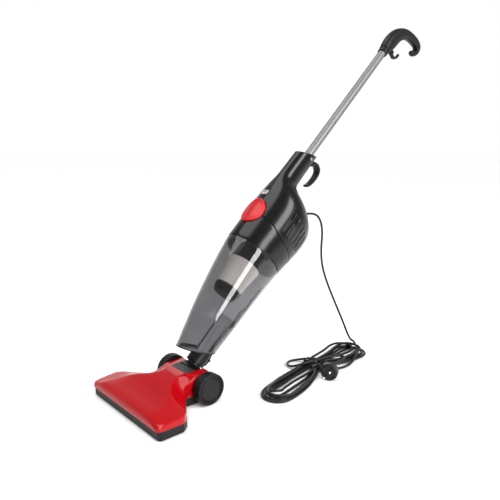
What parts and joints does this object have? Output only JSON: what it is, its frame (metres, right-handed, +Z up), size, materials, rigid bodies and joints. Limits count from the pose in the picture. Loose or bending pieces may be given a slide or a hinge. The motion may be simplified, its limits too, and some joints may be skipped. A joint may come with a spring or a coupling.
{
  "type": "upright vacuum cleaner",
  "caption": "Corded stick vacuum with a wheeled floor head, tilting and swivelling neck, clear dust cup, motor unit, metal pole, hooked handle and a mains lead tied in a hank.",
  "frame": {"origin": "centre of the underside of the cleaner's box, without its mains lead, on the floor", "axes": "+Z up, +Y from the floor head back to the handle, +X to the user's left side seen from the handle's end"},
  "size_m": [0.2976, 0.9542, 0.8225],
  "materials": {
    "head_red": "high gloss",
    "button_red": "gloss",
    "base_black": "satin",
    "guard_grey": "fine matte",
    "wheel_black": "satin",
    "tyre_rubber": "satin rubber",
    "brush_hair": "bristle strip",
    "pin_steel": "turned",
    "bush_nylon": "natural nylon",
    "screw_steel": "zinc plated",
    "spring_steel": "spring wire",
    "neck_black": "satin",
    "cup_smoke": "smoky clear plastic",
    "duct_grey": "satin",
    "flap_rubber": "soft",
    "filter_black": "satin",
    "filter_paper": "pleated filter paper",
    "seal_rubber": "soft",
    "body_black": "satin gloss",
    "motor_metal": "zinc plated sheet",
    "core_iron": "laminated",
    "copper": "copper bars",
    "carbon": "carbon",
    "fan_metal": "pressed sheet",
    "shroud_plastic": "satin",
    "foam": "open foam",
    "switch_plastic": "satin",
    "switch_silver": "silvered plastic",
    "hook_black": "satin",
    "pole_aluminium": "satin anodised",
    "handle_black": "satin",
    "cord_black": "smooth jacket",
    "plug_black": "moulded",
    "plug_metal": "nickel plated"
  },
  "bodies": {
    "floor_head": {"head_cover": "head_red", "head_base": "base_black", "sole_plate": "base_black", "drum_guard": "guard_grey", "front_brush": "brush_hair", "rear_brush": "brush_hair", "axle_pins": "pin_steel", "pivot_bushes": "bush_nylon", "head_screws": "screw_steel"},
    "left_wheel": {"left_wheel": "wheel_black", "left_tyre": "tyre_rubber", "left_hub_cap": "wheel_black"},
    "right_wheel": {"right_wheel": "wheel_black", "right_tyre": "tyre_rubber", "right_hub_cap": "wheel_black"},
    "left_roller": {"left_roller": "wheel_black"},
    "right_roller": {"right_roller": "wheel_black"},
    "yoke": {"neck_yoke": "neck_black"},
    "neck": {"neck_tube": "neck_black"},
    "neck_latch": {"neck_latch": "neck_black"},
    "dust_cup": {"dust_cup": "cup_smoke", "inlet_duct": "duct_grey"},
    "inlet_flap": {"inlet_flap": "flap_rubber"},
    "hand_unit": {"cup_seal": "seal_rubber", "motor_base": "body_black", "housing_left": "body_black", "housing_right": "body_black", "housing_screws": "screw_steel", "motor_can": "motor_metal", "motor_field": "core_iron", "motor_bearings": "pin_steel", "carbon_brushes": "carbon", "front_mount": "seal_rubber", "rear_mount": "seal_rubber", "fan_shroud": "shroud_plastic", "exhaust_foam": "foam", "switch_body": "switch_plastic", "cord_gland": "cord_black", "lower_hook": "hook_black", "pole_tube": "pole_aluminium", "handle_collar": "handle_black", "top_handle": "handle_black", "cord_lead": "cord_black", "cord_hank": "cord_black", "cord_tie": "cord_black", "plug_body": "plug_black", "plug_pins": "plug_metal"},
    "rotor": {"armature": "core_iron", "motor_shaft": "pin_steel", "commutator": "copper", "fan": "fan_metal"},
    "filter": {"filter_frame": "filter_black", "filter_pleats": "filter_paper", "filter_cap": "filter_black"},
    "release_button": {"release_button": "button_red", "release_spring": "spring_steel", "cup_latch": "hook_black"},
    "switch": {"switch_slider": "switch_silver"},
    "upper_hook": {"upper_hook": "hook_black"}
  },
  "joints": [
    {"name": "head_tilt", "type": "hinge", "parent": "floor_head", "child": "yoke", "pos_m": [0, -0.3201, 0.0465], "axis": [1, 0, 0], "range_deg": [-38.4, 46.6]},
    {"name": "neck_swivel", "type": "hinge", "parent": "yoke", "child": "neck", "pos_m": [0, -0.30763, 0.06242], "axis": [0, 0.7266, 0.6871], "range_deg": [-40, 40]},
    {"name": "left_wheel_spin", "type": "hinge", "parent": "floor_head", "child": "left_wheel", "pos_m": [0.065, -0.3221, 0.032], "axis": [1, 0, 0], "continuous": true},
    {"name": "right_wheel_spin", "type": "hinge", "parent": "floor_head", "child": "right_wheel", "pos_m": [-0.065, -0.3221, 0.032], "axis": [1, 0, 0], "continuous": true},
    {"name": "left_roller_spin", "type": "hinge", "parent": "floor_head", "child": "left_roller", "pos_m": [0.1, -0.4221, 0.006], "axis": [1, 0, 0], "continuous": true},
    {"name": "right_roller_spin", "type": "hinge", "parent": "floor_head", "child": "right_roller", "pos_m": [-0.1, -0.4221, 0.006], "axis": [1, 0, 0], "continuous": true},
    {"name": "neck_latch_press", "type": "hinge", "parent": "neck", "child": "neck_latch", "pos_m": [0, -0.27695, 0.05909], "axis": [-1, 0, 0], "range_deg": [0, 3], "stiffness_Nm_per_rad": 1.2, "springref_deg": -5.73},
    {"name": "cup_lift_off", "type": "slide", "parent": "neck", "child": "dust_cup", "axis": [0, 0.7266, 0.6871], "range_m": [0, 0.06]},
    {"name": "inlet_flap_swing", "type": "hinge", "parent": "dust_cup", "child": "inlet_flap", "pos_m": [0, -0.21204, 0.12915], "axis": [-1, 0, 0], "range_deg": [0, 70]},
    {"name": "unit_lift_off", "type": "slide", "parent": "dust_cup", "child": "hand_unit", "axis": [0, 0.7266, 0.6871], "range_m": [0, 0.12]},
    {"name": "filter_twist", "type": "hinge", "parent": "hand_unit", "child": "filter", "pos_m": [0, -0.17733, 0.24482], "axis": [0, 0.7266, 0.6871], "range_deg": [0, 30]},
    {"name": "rotor_spin", "type": "hinge", "parent": "hand_unit", "child": "rotor", "pos_m": [0, -0.10919, 0.30375], "axis": [0, 0.7266, 0.6871], "continuous": true},
    {"name": "release_button_press", "type": "slide", "parent": "hand_unit", "child": "release_button", "axis": [0, 0.6871, -0.7266], "range_m": [0, 0.003], "stiffness_N_per_m": 600, "springref_m": -0.001},
    {"name": "switch_slide", "type": "slide", "parent": "hand_unit", "child": "switch", "axis": [0, 0.7266, 0.6871], "range_m": [0, 0.006]},
    {"name": "upper_hook_turn", "type": "hinge", "parent": "hand_unit", "child": "upper_hook", "pos_m": [0, 0.34063, 0.75665], "axis": [0, 0.6871, -0.7266], "range_deg": [0, 180]}
  ]
}
